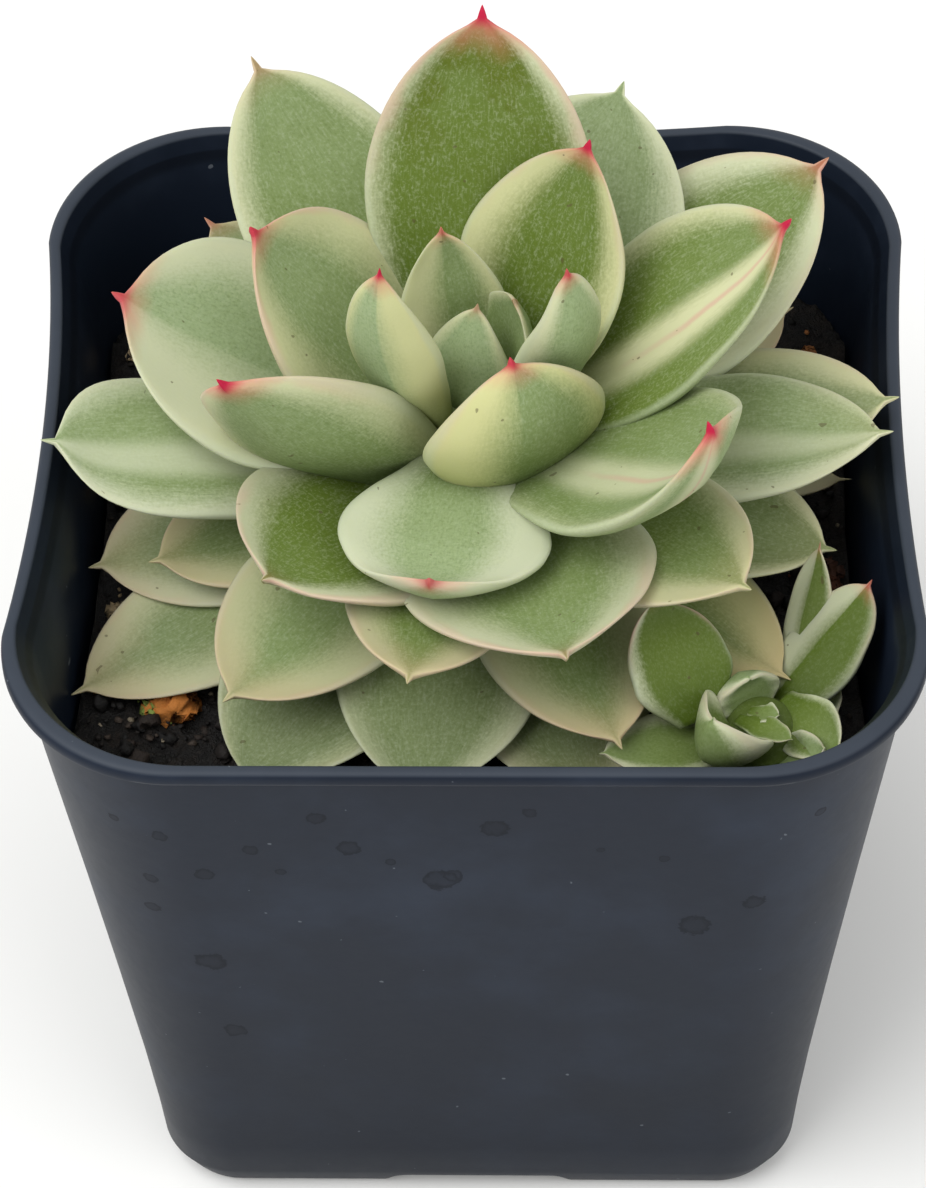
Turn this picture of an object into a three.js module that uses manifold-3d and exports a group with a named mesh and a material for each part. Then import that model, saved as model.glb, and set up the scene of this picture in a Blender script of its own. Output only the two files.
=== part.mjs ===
// Potted variegated mebina echeveria: a fleshy rosette and one offset, growing in a square nursery pot.
// Millimetres, +Z up. The origin is the middle of the foot plane, and -Y is the front.
import * as THREE from "three";
import { mergeVertices } from "three/addons/utils/BufferGeometryUtils.js";
import Module from "manifold-3d";

const wasm = await Module();
wasm.setup();

// Driving dimensions
const potHalfWidth = 32; // over the rim, so the pot is 64 mm square
const potHeight = 62;
const rimDrop = 1.3; // height of the rim band
const rimWidth = 1.0; // of the rim's top face
const lipStep = 0.9; // how far the rim stands out from the wall
const baseHalfWidth = 24.2;
const wall = 1.0;
const floorTop = 3.3;
const rimCornerRadius = 12.6;
const baseCornerRadius = 5.5;
const sideBows = [0.9, 0.9, 1.2, 0]; // how far the right, back, left and front sides are drawn in at the rim
const footHeight = 2.1;
const notchTop = 12.2; // width of the notch between two feet
const notchBottom = 16.4;
const drainRadius = 2.5;
const drainOffset = 15;
const gap = 0.3; // between pieces that touch
const scrapVolume = 0.05;

const soilLevel = 49.2;
const soilRelief = 0.45;

const stem = { x: 0.3, y: 1.5, radius: 3.6, footZ: 45.8 };
const leanDegrees = 10; // the rosette faces the front by this angle
const leanHeight = 58; // where its axis turns
const firstLeafTurn = 40;
const goldenAngle = 137.5;
const leafCount = 44;

const offsetStem = { x: 20.6, y: -21.4, radius: 1.7, footZ: 46.2 };

// How a leaf changes from the youngest, number 0 in the bud, to the oldest, down on the soil
const byAge = {
  rise: [[0, 84], [4, 62], [8, 40], [12, 30], [16, 20], [22, 10], [30, 0], [40, -8]],
  length: [[0, 8], [1, 10], [4, 16], [8, 23], [12, 26], [20, 29], [40, 29]],
  slimness: [[0, 0.6], [4, 0.52], [8, 0.52], [20, 0.5], [40, 0.46]],
  curl: [[0, 25], [5, 25], [10, 20], [20, 14], [40, 8]],
  baseHeight: [[0, 63.5], [8, 61.5], [20, 58.5], [40, 54.5]],
  reach: [[0, 0.6], [8, 2.2], [20, 3.4], [40, 4.0]],
  thickness: [[0, 1.6], [6, 2.6], [20, 3.2], [40, 2.6]],
  fullness: [[0, 2.6], [4, 2.7], [7, 4.2], [12, 4.8], [40, 4.8]],
};

// Where a leaf of this plant grew away from the rule. Turn, rise and roll are in degrees and are added,
// length and width are factors, and the rest takes the rule's place.
const grown = {
  0: { turn: -16, rise: -12, length: 1.4, width: 1.5, reach: 1.8, baseHeight: 64.2 },
  1: { turn: -18, rise: 11, length: 1.2, width: 1.25, fullness: 2 },
  2: { turn: -16, rise: -15, length: 1.3, width: 1.08, roll: 8, reach: 0.6 },
  3: { turn: 2, rise: 3, length: 1.38, width: 0.9, roll: 44, reach: 3.8, baseHeight: 63.6, fullness: 2 },
  4: { turn: -2, rise: 8, length: 1.34, width: 0.72, roll: -42, reach: 3.0, baseHeight: 64.2 },
  5: { turn: -20.5, rise: -9, length: 1.27, width: 1.3 },
  6: {
    turn: 4, rise: 20, length: 0.94, width: 1.58, roll: 8, curl: 45, curlPower: 2,
    reach: 4.6, baseHeight: 59.8,
  },
  7: { turn: 4, rise: -5, length: 1.04, width: 1.46 },
  8: { turn: -9, rise: -6, length: 1.22, width: 1.06 },
  9: { turn: 20, rise: -22, length: 0.76, width: 1.72, curl: 70, curlPower: 4, reach: 4.5, baseHeight: 63.6 },
  10: { turn: -17.5, rise: 13, length: 1.22, width: 1.14 },
  11: { turn: -6, rise: 2, length: 1.15, width: 1.1, curl: 74, curlPower: 4 },
  12: { turn: 15, rise: 23, length: 1.12, width: 0.96, roll: -62, cup: 0.3, curl: 8, baseHeight: 54.8 },
  13: { turn: 13, rise: -11, length: 0.98, width: 1.45 },
  14: { turn: 10, rise: -4, length: 1, width: 1.42, baseHeight: 58.8 },
  15: { turn: -14, rise: -4, length: 1.1, width: 1.05 },
  16: { turn: -9, rise: -10, length: 1.03, width: 0.84 },
  17: { turn: 10, rise: 6, length: 0.84, width: 1.5, baseHeight: 58 },
  18: { turn: -6, rise: -14, length: 0.8 },
  19: { turn: 8, rise: 4, length: 0.92, width: 1.1 },
  20: { rise: 11, length: 0.9, width: 1.4, fullness: 7 },
  21: { turn: 3, rise: 3, length: 1.04, width: 1.15 },
  22: { turn: 6, rise: 9, length: 0.85, width: 1.1 },
  23: { rise: -14, length: 0.8 },
  24: { turn: -2, rise: -5, length: 0.85 },
  25: { turn: -13, rise: 8, width: 0.84, fullness: 12 },
  26: { rise: -12, length: 0.8 },
  27: { turn: 4.5, rise: -1, length: 0.86, width: 1.1 },
  28: { turn: -13, rise: 1, length: 0.85 },
  29: { turn: -13, rise: 12, length: 0.97 },
  30: { turn: -3, rise: 3, length: 0.85, width: 1.2 },
  31: { rise: -8, length: 0.8 },
  32: { turn: -0.8, rise: 2, length: 0.9, width: 0.96 },
  33: { turn: 19, rise: 2, length: 0.74, width: 1.15 },
  34: { turn: -12, rise: -5, length: 0.85, width: 0.8 },
  35: { turn: -5, rise: 2, length: 0.85, width: 1.4 },
  36: { rise: -8, length: 0.8 },
  37: { turn: 11, rise: -7, length: 0.84, width: 0.5 },
  38: { turn: -3, length: 1.04, width: 0.9 },
  39: { rise: -6, length: 0.7 },
  40: { turn: -12, rise: 4, length: 0.85, width: 1.4 },
  41: { turn: 33, rise: 4, length: 0.87, width: 1.2 },
  42: { rise: -2, length: 0.6 },
  43: { turn: -10, rise: 4, length: 0.92, width: 1.3 },
};

// The offset's leaves, lowest first: turn, rise and curl in degrees, sizes in millimetres.
// A ridge is a fold along the middle, cup and ridge being shares of the half width.
const offsetLeaves = [
  {
    turn: 75, rise: 34, length: 14.5, width: 4.2, curl: 36, ridge: 0.3, roll: 26,
    reach: 2.7, baseTurn: 48, baseHeight: 50.6,
  },
  {
    turn: 35, rise: 33, length: 13.6, width: 6.8, curl: 28, ridge: 0.3,
    reach: 2.6, baseTurn: 92, baseHeight: 51.2,
  },
  {
    turn: 118, rise: 36, length: 9.2, width: 7.9, curl: 4, widest: 0.4, roll: -4,
    reach: 4.3, baseTurn: 183, baseHeight: 55.2,
  },
  { turn: 192, rise: 5, length: 9.9, width: 6.2, curl: 8, reach: 1.8, baseHeight: 52.8 },
  { turn: 225, rise: 0, length: 5.6, width: 4.0, curl: 10, reach: 1.2, baseHeight: 51.4 },
  { turn: 38, rise: 4, length: 6.3, width: 3.6, curl: 20, reach: 1.4, baseHeight: 51.8 },
  { turn: 224, rise: 34, length: 7.2, width: 7.0, curl: 60, cup: 0.8, reach: 1.3, baseHeight: 53.6 },
  {
    turn: 346, rise: 18, length: 5.8, width: 4.8, curl: 50, cup: 0.5, roll: -12,
    reach: 2.4, baseTurn: 270, baseHeight: 52.8,
  },
  {
    turn: -56, rise: 4, length: 6.6, width: 5.2, curl: 10, cup: 0.4, roll: -30,
    reach: 2.5, baseTurn: 52, baseHeight: 54.6,
  },
  { turn: 118, rise: 48, length: 4.8, width: 5.8, curl: 90, reach: 1.4, baseHeight: 53.3 },
  {
    turn: -37, rise: 10, length: 4.8, width: 2.4, curl: 10, reach: 1.7,
    baseTurn: 190, baseHeight: 55.5,
  },
  {
    turn: -25, rise: 10, length: 2.4, width: 2.0, curl: 20, reach: 0.9,
    baseTurn: 165, baseHeight: 55.7,
  },
];
const offsetThickness = 0.3; // of a leaf's width
const offsetFullness = 4.2;

// A leaf's outline and section, as shares of its length, width and thickness
const leafForm = {
  neck: 0.42,
  widest: 0.66,
  bluntness: 0.7,
  point: 0.045,
  pointWidth: 0.09,
  cup: 0.18,
  upperShare: 0.38,
  keel: 0.25,
  curlPower: 1.4,
};

// Pieces of bark and grit that stand out of the soil: place, then length, width and height
const barkPieces = [
  { x: -21.4, y: -15.6, size: [3.6, 2.4, 1.8], turn: 20 },
  { x: -26.4, y: -14.2, size: [1.7, 1.4, 1.2], turn: 70 },
  { x: -26.2, y: 19.4, size: [2.0, 1.5, 1.2], turn: 70 },
  { x: 25.6, y: -5.0, size: [3.2, 2.6, 1.8], turn: 40 },
  { x: 26.6, y: -12.6, size: [1.2, 1.6, 1.1], turn: 10 },
  { x: -26.2, y: 4.8, size: [1.8, 1.3, 1.1], turn: 10 },
  { x: 25.6, y: 19.6, size: [1.5, 1.2, 1.0], turn: 120 },
  { x: -15.2, y: -18.4, size: [2.8, 1.8, 1.4], turn: 160 },
  { x: -26.0, y: -6.8, size: [1.6, 1.1, 1.0], turn: 30 },
  { x: 10.5, y: 24.0, size: [2.4, 1.5, 1.2], turn: 200 },
];
const crumbCount = 18;
const crumbReach = 25.5; // from the middle, each way
const crumbSink = 0.22;

const around = 56; // points round the pot
const leafAround = 10;
const leafAlong = 9;
const offsetAround = 8;
const offsetAlong = 8;

// Helpers
const radians = THREE.MathUtils.degToRad;

function along(points, x) {
  const last = points[points.length - 1];
  if (x >= last[0]) return last[1];
  const i = points.findIndex((p) => p[0] > x);
  const [x0, y0] = points[i - 1];
  const [x1, y1] = points[i];
  return y0 + ((y1 - y0) * (x - x0)) / (x1 - x0);
}

function seededRandom(seed) {
  let state = seed;
  return () => {
    state = (state * 1664525 + 1013904223) % 4294967296;
    return state / 4294967296;
  };
}

function solid(geometry) {
  const bare = geometry.clone();
  bare.deleteAttribute("normal");
  bare.deleteAttribute("uv");
  const merged = mergeVertices(bare, 1e-5);
  const made = new wasm.Manifold(
    new wasm.Mesh({
      numProp: 3,
      vertProperties: new Float32Array(merged.attributes.position.array),
      triVerts: new Uint32Array(merged.index.array),
    }),
  );
  if (made.volume() < 0) throw new Error("inside out");
  return made;
}

// Joining leaves can leave a loose scrap in a fold, which is dropped
function meshOf(name, made, material) {
  const bodies = made.decompose().sort((a, b) => b.volume() - a.volume());
  if (bodies.slice(1).some((body) => body.volume() > scrapVolume)) throw new Error(`${name}: a loose piece`);
  const out = bodies[0].getMesh();
  const geometry = new THREE.BufferGeometry();
  geometry.setAttribute("position", new THREE.BufferAttribute(out.vertProperties, 3));
  geometry.setIndex(new THREE.BufferAttribute(out.triVerts, 1));
  geometry.computeVertexNormals();
  const mesh = new THREE.Mesh(geometry, material);
  mesh.name = name;
  return mesh;
}

// The pot's plan: a square with round corners whose sides are drawn in a little
function cornerRadius(z) {
  return baseCornerRadius + ((rimCornerRadius - baseCornerRadius) * z) / potHeight;
}

function planPoint(half, radius, z, turn) {
  const quarter = Math.floor(turn * 4 + 1e-9);
  const s = turn * 4 - quarter;
  const sideShare = 3 / 14;
  const straight = Math.max(half - radius, 0);
  const corner = Math.min(radius, half);
  let x = half;
  let y = 0;
  if (s < sideShare) y = (straight * s) / sideShare;
  else if (s <= 1 - sideShare) {
    const angle = ((s - sideShare) / (1 - 2 * sideShare)) * (Math.PI / 2);
    x = straight + corner * Math.cos(angle);
    y = straight + corner * Math.sin(angle);
  } else {
    x = (straight * (1 - s)) / sideShare;
    y = half;
  }
  const bowShare = (z / potHeight) * Math.min(half / wallHalf(z), 1);
  if (y < straight) x -= sideBows[quarter % 4] * bowShare * (1 - (y / straight) ** 2);
  if (x < straight) y -= sideBows[(quarter + 1) % 4] * bowShare * (1 - (x / straight) ** 2);
  const [cos, sin] = [[1, 0], [0, 1], [-1, 0], [0, -1]][quarter % 4];
  return [x * cos - y * sin, x * sin + y * cos];
}

// A lathe profile, swept round the pot's plan in place of a circle
function squareLathe(profile, inset, lift = () => 0) {
  const geometry = new THREE.LatheGeometry(
    profile.map(([half, z]) => new THREE.Vector2(half, z)),
    around,
  );
  const position = geometry.attributes.position;
  for (let column = 0; column <= around; column++)
    profile.forEach(([half, z], row) => {
      const radius = Math.max(cornerRadius(z) - inset(half, z), half * 0.2);
      const [x, y] = half === 0 ? [0, 0] : planPoint(half, radius, z, (column % around) / around);
      position.setXYZ(column * profile.length + row, x, y, z + lift(x, y, row));
    });
  return geometry;
}

function wallHalf(z) {
  return baseHalfWidth + ((potHalfWidth - lipStep - baseHalfWidth) * z) / (potHeight - rimDrop);
}

// Pot
function potSolid() {
  const underRim = potHeight - rimDrop;
  const rimInner = potHalfWidth - rimWidth;
  const outer = [
    [0, 0],
    [baseHalfWidth - 1.4, 0],
    [baseHalfWidth - 0.5, 0.2],
    [baseHalfWidth + 0.05, 0.8],
    [wallHalf(3) + 0.45, 3],
    [wallHalf(14) + 0.15, 14],
    [wallHalf(38), 38],
    [wallHalf(underRim - 0.5), underRim - 0.5],
    [potHalfWidth - 0.5, underRim],
    [potHalfWidth, underRim + 0.4],
    [potHalfWidth, potHeight - 0.6],
    [potHalfWidth - 0.2, potHeight - 0.15],
    [potHalfWidth - 0.6, potHeight],
  ];
  const inner = [
    [rimInner + 0.4, potHeight],
    [rimInner + 0.1, potHeight - 0.15],
    [rimInner - 0.1, potHeight - 0.6],
    [wallHalf(underRim - 1) - wall, underRim - 1],
    [wallHalf(38) - wall, 38],
    [wallHalf(14) - wall, 14],
    [wallHalf(floorTop) - wall, floorTop],
    [0, floorTop],
  ];
  const inset = (half, z) => Math.max(wallHalf(z) - half, 0);
  let made = solid(squareLathe([...outer, ...inner], inset));
  const notch = new THREE.Shape();
  notch.moveTo(-notchBottom / 2 - 0.4, -1);
  notch.lineTo(-notchBottom / 2, 0);
  notch.quadraticCurveTo(-notchTop / 2 - 0.9, 0.3, -notchTop / 2 - 0.6, 1.2);
  notch.quadraticCurveTo(-notchTop / 2 - 0.4, footHeight, -notchTop / 2 + 0.4, footHeight);
  notch.lineTo(notchTop / 2 - 0.4, footHeight);
  notch.quadraticCurveTo(notchTop / 2 + 0.4, footHeight, notchTop / 2 + 0.6, 1.2);
  notch.quadraticCurveTo(notchTop / 2 + 0.9, 0.3, notchBottom / 2, 0);
  notch.lineTo(notchBottom / 2 + 0.4, -1);
  const channelLength = 2 * baseHalfWidth + 8;
  for (const turn of [0, Math.PI / 2]) {
    const channel = new THREE.ExtrudeGeometry(notch, {
      depth: channelLength,
      bevelEnabled: false,
      curveSegments: 4,
    });
    channel.translate(0, 0, -channelLength / 2);
    channel.rotateX(Math.PI / 2);
    channel.rotateZ(turn);
    made = made.subtract(solid(channel));
  }
  const drains = [[0, 0], [drainOffset, 0], [-drainOffset, 0], [0, drainOffset], [0, -drainOffset]];
  for (const [x, y] of drains) {
    const drill = new THREE.CylinderGeometry(drainRadius, drainRadius, 4, 20);
    drill.rotateX(Math.PI / 2);
    drill.translate(x, y, floorTop);
    made = made.subtract(solid(drill));
  }
  return made;
}

// Soil: it fills the pot to about 12 mm below the rim, with a lumpy top
function soilHeight(x, y) {
  const lumps =
    Math.sin(0.61 * x + 1.3) * Math.cos(0.53 * y - 0.4) +
    0.6 * Math.sin(1.27 * x - 0.9 * y + 2.1) +
    0.4 * Math.sin(1.9 * y + 0.7 * x);
  const settled = 0.7 * Math.exp(-((x + 2) ** 2 + (y + 24) ** 2) / 220); // under the front leaves
  return (soilRelief * lumps) / 1.4 - settled;
}

function soilSolid() {
  const bottom = floorTop + gap;
  const edgeZ = soilLevel;
  const side = [bottom, 12, 30, edgeZ].map((z) => [wallHalf(z) - wall - gap, z]);
  const edge = side[side.length - 1][0];
  const rings = 12;
  const top = [];
  for (let i = 1; i < rings; i++) top.push([edge * (1 - i / rings), edgeZ]);
  const profile = [[0, bottom], ...side, ...top, [0, edgeZ]];
  const inset = (half, z) => Math.max(wallHalf(z) - half, 0) * 0.6 + wall;
  const lift = (x, y, row) => (row >= side.length + 1 ? soilHeight(x, y) : 0);
  let made = solid(squareLathe(profile, inset, lift));
  const pieces = [...barkPieces];
  const random = seededRandom(7);
  while (pieces.length < barkPieces.length + crumbCount) {
    const size = 0.7 + 0.8 * random();
    const x = (2 * random() - 1) * crumbReach;
    const y = (2 * random() - 1) * crumbReach;
    const turn = 360 * random();
    const atStem = Math.hypot(x - stem.x, y - stem.y) < 9;
    const atOffset = Math.hypot(x - offsetStem.x, y - offsetStem.y) < 5;
    if (!atStem && !atOffset) pieces.push({ x, y, size: [size * 1.3, size, size * 0.8], turn });
  }
  for (const piece of pieces) {
    const lump = new THREE.IcosahedronGeometry(0.5, 0);
    lump.scale(...piece.size);
    lump.rotateZ(radians(piece.turn));
    lump.translate(piece.x, piece.y, soilLevel + soilHeight(piece.x, piece.y) - crumbSink);
    made = made.add(solid(lump));
  }
  const stemY = stem.y + (leanHeight - 48) * Math.sin(radians(leanDegrees));
  const holes = [
    [stem.x, stemY, stem.radius + gap + 0.6, stem.footZ - 2 * gap],
    [offsetStem.x, offsetStem.y, offsetStem.radius + gap, offsetStem.footZ - gap],
  ];
  for (const [x, y, radius, floor] of holes) {
    const hole = new THREE.CylinderGeometry(radius, radius, 20, 20);
    hole.rotateX(Math.PI / 2);
    hole.translate(x, y, floor + 10);
    made = made.subtract(solid(hole));
  }
  return made;
}

// One leaf: a sphere drawn out along a curling midrib, cupped above and keeled below
function leafGeometry(leaf, rows, columns) {
  const geometry = new THREE.SphereGeometry(1, columns, rows);
  const position = geometry.attributes.position;
  const form = leafForm;
  const { smoothstep } = THREE.MathUtils;
  const power = leaf.curlPower ?? form.curlPower;
  const widest = leaf.widest ?? form.widest;
  const cup = leaf.cup ?? form.cup;
  const ridge = leaf.ridge ?? 0;
  const roll = radians(leaf.roll ?? 0);
  const turn = radians(leaf.turn);
  const point = new THREE.Vector3(leaf.x, leaf.y, leaf.z);
  const side = new THREE.Vector3(Math.sin(turn), -Math.cos(turn), 0);
  const heading = new THREE.Vector3();
  const steps = 12;
  let reached = 0;
  const walkTo = (u) => {
    for (let i = 0; i < steps; i++) {
      const s = reached + ((i + 0.5) / steps) * (u - reached);
      const pitch = radians(leaf.rise + leaf.curl * s ** power);
      heading.set(Math.cos(pitch) * Math.cos(turn), Math.cos(pitch) * Math.sin(turn), Math.sin(pitch));
      point.addScaledVector(heading, (leaf.length * (u - reached)) / steps);
    }
    reached = u;
    const pitch = radians(leaf.rise + leaf.curl * u ** power);
    heading.set(Math.cos(pitch) * Math.cos(turn), Math.cos(pitch) * Math.sin(turn), Math.sin(pitch));
  };
  for (let row = 0; row <= rows; row++) {
    const even = THREE.MathUtils.clamp((row - 1) / (rows - 1), 0, 1);
    const u = 1 - (1 - even) ** 1.5;
    walkTo(u);
    const t = Math.min(u / (1 - form.point), 1);
    const growing = form.neck + (1 - form.neck) * Math.sin((Math.PI / 2) * Math.min(t / widest, 1)) ** 1.3;
    const body = growing * (1 - t ** leaf.fullness) ** form.bluntness;
    const tip = form.pointWidth * Math.min((1 - u) / (2.2 * form.point), 1) ** 0.8 * smoothstep(u, 0.6, 0.95);
    const half = (Math.hypot(body, tip) * leaf.width) / 2;
    const belly = 0.62 + 0.38 * Math.sin(Math.PI * Math.min(u / 0.9, 1));
    const thick = Math.min(leaf.thickness * belly * (1 - 0.72 * smoothstep(u, 0.55, 1)), 1.8 * half + 0.02);
    const normal = new THREE.Vector3().crossVectors(side, heading);
    const across = side.clone().multiplyScalar(Math.cos(roll)).addScaledVector(normal, Math.sin(roll));
    const up = normal.clone().multiplyScalar(Math.cos(roll)).addScaledVector(side, -Math.sin(roll));
    for (let column = 0; column <= columns; column++) {
      const angle = (2 * Math.PI * (column % columns)) / columns;
      const q = Math.cos(angle);
      const h = Math.abs(Math.sin(angle));
      const above = Math.sin(angle) >= 0;
      const share = above ? form.upperShare : form.upperShare - 1;
      const hollow = cup * (q * q - 0.2) + ridge * (0.5 - Math.abs(q));
      const middle = hollow * half * smoothstep(u, 0, 0.3);
      const keel = above ? 0 : form.keel * smoothstep(u, 0.45, 0.85) * thick * (1 - Math.abs(q)) ** 2;
      const z = middle + thick * share * h ** 0.9 - keel;
      const pole = row === 0 || row === rows;
      const vertex = point.clone();
      if (!pole) vertex.addScaledVector(across, half * q).addScaledVector(up, z);
      position.setXYZ(row * (columns + 1) + column, vertex.x, vertex.y, vertex.z);
    }
  }
  return geometry;
}

// Rosette: a short stem with its leaves in golden-angle order, all leaning to the front
function rosetteLeaf(age) {
  const own = grown[age] ?? {};
  const length = along(byAge.length, age) * (own.length ?? 1);
  const turn = firstLeafTurn - goldenAngle * age + (own.turn ?? 0);
  const reach = own.reach ?? along(byAge.reach, age);
  return {
    turn,
    rise: along(byAge.rise, age) + (own.rise ?? 0),
    length,
    width: length * along(byAge.slimness, age) * (own.width ?? 1),
    curl: own.curl ?? along(byAge.curl, age),
    curlPower: own.curlPower,
    thickness: along(byAge.thickness, age),
    roll: own.roll,
    cup: own.cup,
    fullness: own.fullness ?? along(byAge.fullness, age),
    x: stem.x + reach * Math.cos(radians(turn)),
    y: stem.y + reach * Math.sin(radians(turn)),
    z: own.baseHeight ?? along(byAge.baseHeight, age),
  };
}

function leanForward(geometry) {
  geometry.translate(-stem.x, -stem.y, -leanHeight);
  geometry.rotateX(radians(leanDegrees));
  geometry.translate(stem.x, stem.y, leanHeight);
  return geometry;
}

function rosetteSolid() {
  const profile = [
    [0, stem.footZ],
    [stem.radius * 0.8, stem.footZ],
    [stem.radius, stem.footZ + 1],
    [stem.radius, 53],
    [stem.radius + 1.4, 56],
    [stem.radius + 1.6, 59],
    [stem.radius + 0.8, 62.5],
    [stem.radius - 0.6, 65],
    [0, 66],
  ];
  const core = new THREE.LatheGeometry(profile.map(([r, z]) => new THREE.Vector2(r, z)), 16);
  core.rotateX(Math.PI / 2);
  core.translate(stem.x, stem.y, 0);
  let made = solid(leanForward(core));
  for (let age = leafCount - 1; age >= 0; age--)
    made = made.add(solid(leanForward(leafGeometry(rosetteLeaf(age), leafAlong, leafAround))));
  return made;
}

// Offset: a small upright head with looser leaves, in the front right corner
function offsetSolid() {
  const profile = [
    [0, offsetStem.footZ],
    [offsetStem.radius, offsetStem.footZ],
    [offsetStem.radius, 51],
    [offsetStem.radius + 1.3, 52.8],
    [offsetStem.radius + 1.3, 54],
    [1.8, 55.4],
    [0, 55.8],
  ];
  const core = new THREE.LatheGeometry(profile.map(([r, z]) => new THREE.Vector2(r, z)), 12);
  core.rotateX(Math.PI / 2);
  core.translate(offsetStem.x, offsetStem.y, 0);
  let made = solid(core);
  for (const leaf of offsetLeaves) {
    const baseTurn = radians(leaf.baseTurn ?? leaf.turn);
    const placed = {
      ...leaf,
      thickness: leaf.width * offsetThickness,
      fullness: leaf.fullness ?? offsetFullness,
      x: offsetStem.x + leaf.reach * Math.cos(baseTurn),
      y: offsetStem.y + leaf.reach * Math.sin(baseTurn),
      z: leaf.baseHeight,
    };
    made = made.add(solid(leafGeometry(placed, offsetAlong, offsetAround)));
  }
  return made;
}

const potPlastic = new THREE.MeshStandardMaterial({ color: 0x343a44, roughness: 0.45, metalness: 0 });
const soilMix = new THREE.MeshStandardMaterial({ color: 0x1d1713, roughness: 1, metalness: 0 });
const leafGreen = new THREE.MeshStandardMaterial({ color: 0xa9b98a, roughness: 0.6, metalness: 0 });
const offsetGreen = new THREE.MeshStandardMaterial({ color: 0x8fa878, roughness: 0.6, metalness: 0 });

const plant = new THREE.Group();
plant.add(
  meshOf("pot", potSolid(), potPlastic),
  meshOf("soil", soilSolid(), soilMix),
  meshOf("rosette", rosetteSolid(), leafGreen),
  meshOf("offset_rosette", offsetSolid(), offsetGreen),
);

export default plant;
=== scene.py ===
import math
import random

import bmesh
import bpy
from mathutils import Matrix, Vector, noise


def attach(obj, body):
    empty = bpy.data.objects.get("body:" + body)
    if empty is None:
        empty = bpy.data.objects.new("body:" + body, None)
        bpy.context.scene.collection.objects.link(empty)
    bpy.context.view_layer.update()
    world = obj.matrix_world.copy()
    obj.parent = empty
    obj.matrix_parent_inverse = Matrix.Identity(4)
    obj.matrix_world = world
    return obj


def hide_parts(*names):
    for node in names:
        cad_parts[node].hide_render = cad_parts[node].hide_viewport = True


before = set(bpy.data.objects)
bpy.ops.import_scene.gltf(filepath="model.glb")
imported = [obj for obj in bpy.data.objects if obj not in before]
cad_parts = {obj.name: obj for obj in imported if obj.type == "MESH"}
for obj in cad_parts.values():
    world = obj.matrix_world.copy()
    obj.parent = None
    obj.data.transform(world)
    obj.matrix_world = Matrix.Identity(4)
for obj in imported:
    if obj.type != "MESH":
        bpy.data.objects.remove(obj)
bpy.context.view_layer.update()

mm = 0.001
print("frame loaded:", ", ".join(sorted(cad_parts)))


def linear(share):  # one channel of a display colour as the linear light that shaders take
    return share / 12.92 if share < 0.04 else ((share + 0.055) / 1.055) ** 2.4


def paint(red, green, blue):
    return tuple(linear(value / 255) for value in (red, green, blue)) + (1,)


def smoothstep(low, high, value):
    share = min(max((value - low) / (high - low), 0), 1)
    return share * share * (3 - 2 * share)


def alongCurve(points, x):  # straight lines between the points
    for (x0, y0), (x1, y1) in zip(points, points[1:]):
        if x < x1:
            return y0 + (y1 - y0) * (x - x0) / (x1 - x0)
    return points[-1][1]


# Shader maths: a Wire is a node's output that works in an expression
class Wire:
    def __init__(self, shader, socket):
        self.shader = shader
        self.socket = socket

    def __add__(self, other):
        return self.shader.maths("ADD", self, other)

    def __sub__(self, other):
        return self.shader.maths("SUBTRACT", self, other)

    def __rsub__(self, other):
        return self.shader.maths("SUBTRACT", other, self)

    def __mul__(self, other):
        return self.shader.maths("MULTIPLY", self, other)

    def __abs__(self):
        return self.shader.maths("ABSOLUTE", self)

    __radd__ = __add__
    __rmul__ = __mul__


class Shader:
    def __init__(self, name, constants):
        self.material = bpy.data.materials.new(name)
        self.material.use_nodes = True
        self.tree = self.material.node_tree
        self.surface = self.tree.nodes["Principled BSDF"]
        for socket, value in constants.items():
            self.surface.inputs[socket].default_value = value

    def node(self, kind, settings=None, sockets=None, out=0):
        made = self.tree.nodes.new(kind)
        for key, value in (settings or {}).items():
            setattr(made, key, value)
        for key, value in (sockets or {}).items():
            if isinstance(value, Wire):
                self.tree.links.new(value.socket, made.inputs[key])
            else:
                made.inputs[key].default_value = value
        return Wire(self, made.outputs[out])

    def maths(self, operation, *values):
        return self.node("ShaderNodeMath", {"operation": operation}, dict(enumerate(values)))

    def smooth(self, value, low, high):  # 0 at low and 1 at high, eased
        sockets = {"Value": value, "From Min": low, "From Max": high}
        return self.node("ShaderNodeMapRange", {"interpolation_type": "SMOOTHSTEP"}, sockets)

    def blend(self, factor, first, second, kind="MIX"):
        settings = {"data_type": "RGBA", "blend_type": kind}
        return self.node("ShaderNodeMix", settings, {0: factor, 6: first, 7: second}, 2)

    def vector(self, x, y, z):
        return self.node("ShaderNodeCombineXYZ", sockets={0: x, 1: y, 2: z})

    def noise(self, vector, scale, detail=2.0, roughness=0.5):
        sockets = {"Vector": vector, "Scale": scale, "Detail": detail, "Roughness": roughness}
        return self.node("ShaderNodeTexNoise", sockets=sockets)

    def objectPlace(self):
        return self.node("ShaderNodeTexCoord", out="Object")

    def attribute(self, name, out="Fac"):
        return self.node("ShaderNodeAttribute", {"attribute_name": name}, out=out)

    def fourValues(self, name):  # the numbers kept in a colour attribute
        colour = self.attribute(name, "Color")
        parts = [self.node("ShaderNodeSeparateColor", sockets={0: colour}, out=index) for index in range(3)]
        return parts + [self.attribute(name, "Alpha")]

    def bump(self, height, distance, strength=1.0):
        sockets = {"Height": height, "Distance": distance, "Strength": strength}
        return self.node("ShaderNodeBump", sockets=sockets)

    def feed(self, **links):  # baseColor=..., roughness=..., normal=...
        names = {"baseColor": "Base Color", "roughness": "Roughness", "normal": "Normal"}
        for key, wire in links.items():
            self.tree.links.new(wire.socket, self.surface.inputs[names[key]])
        return self.material


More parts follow.
